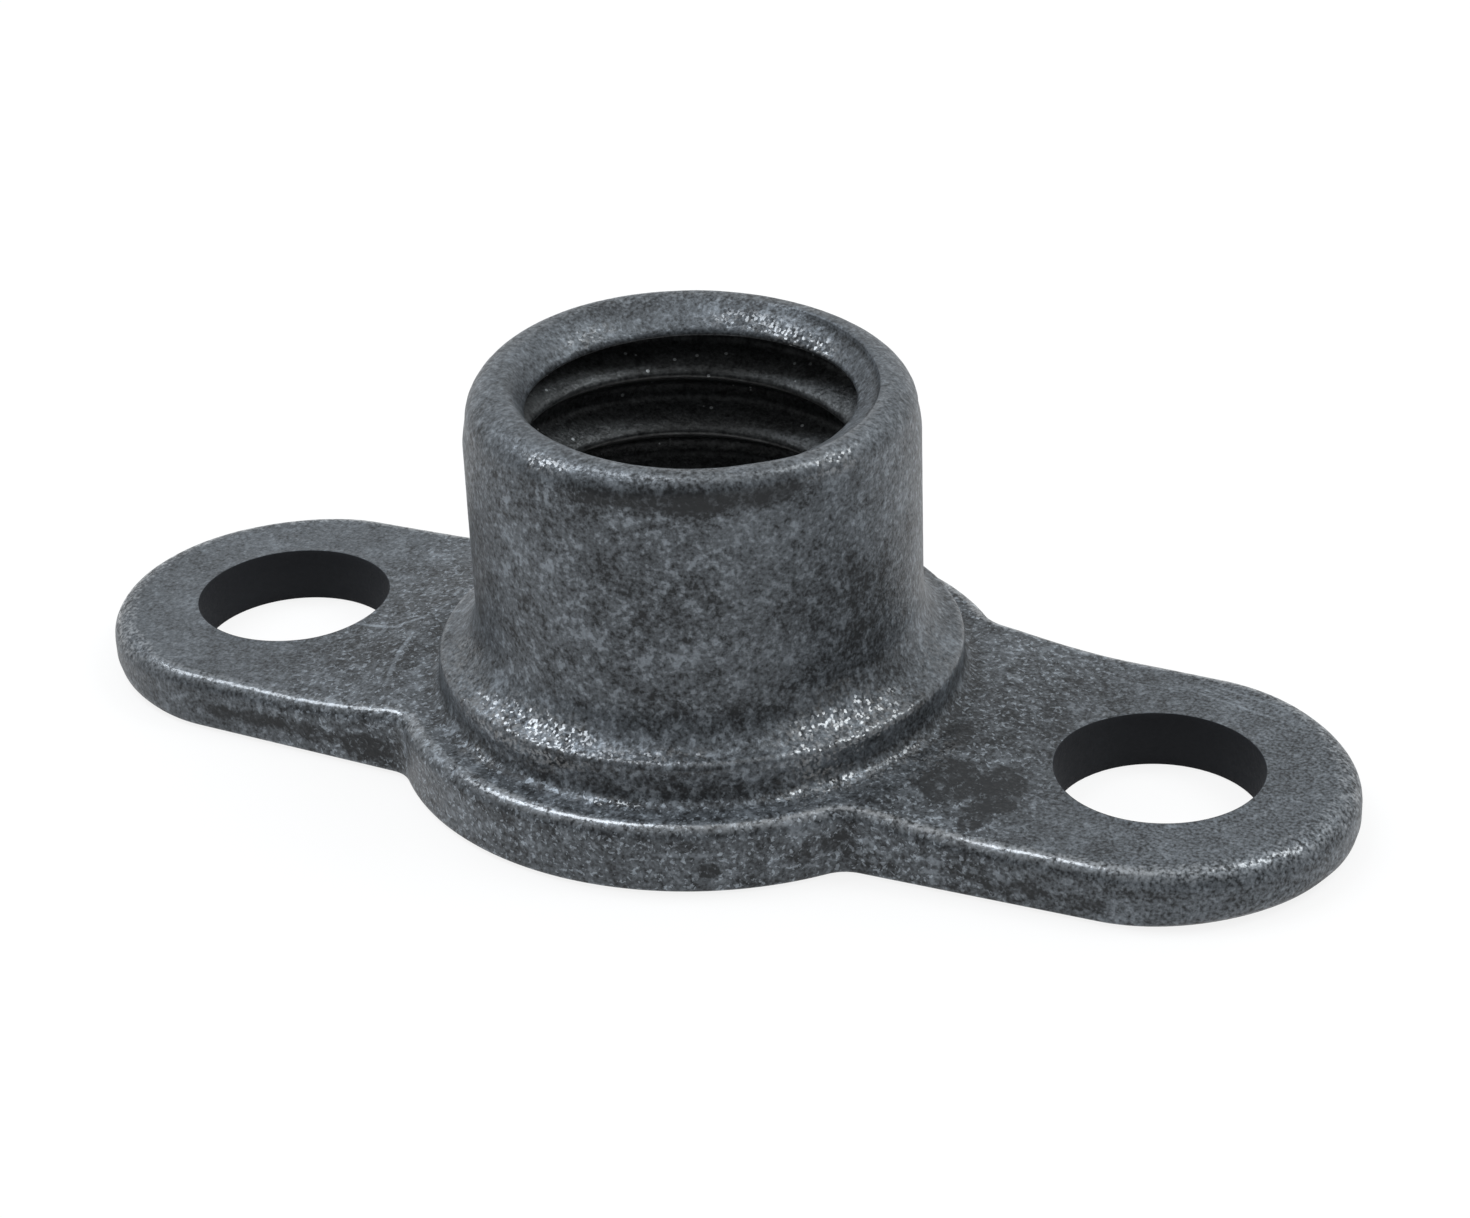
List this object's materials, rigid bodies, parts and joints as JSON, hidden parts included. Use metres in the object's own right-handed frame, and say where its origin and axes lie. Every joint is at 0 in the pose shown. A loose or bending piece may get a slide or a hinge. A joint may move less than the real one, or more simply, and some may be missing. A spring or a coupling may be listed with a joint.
{
  "type": "nutplate",
  "caption": "Nutplate forged in one piece: a flat ring base with opposed riveting ears carries a flared, self-locking threaded boss that holds a screw behind a panel.",
  "frame": {"origin": "centre of the flat base, on the thread's axis, which is the bottom centre of the part's box", "axes": "+X along the line of the rivet holes, +Z along the thread's axis from the base up to the boss's crown"},
  "size_m": [0.0166, 0.0076, 0.0048],
  "materials": {
    "coated_steel": "mottled grey dry-film coating over phosphated steel, rubbed bright along its edges"
  },
  "bodies": {
    "root": {"nutplate": "coated_steel"}
  },
  "joints": []
}
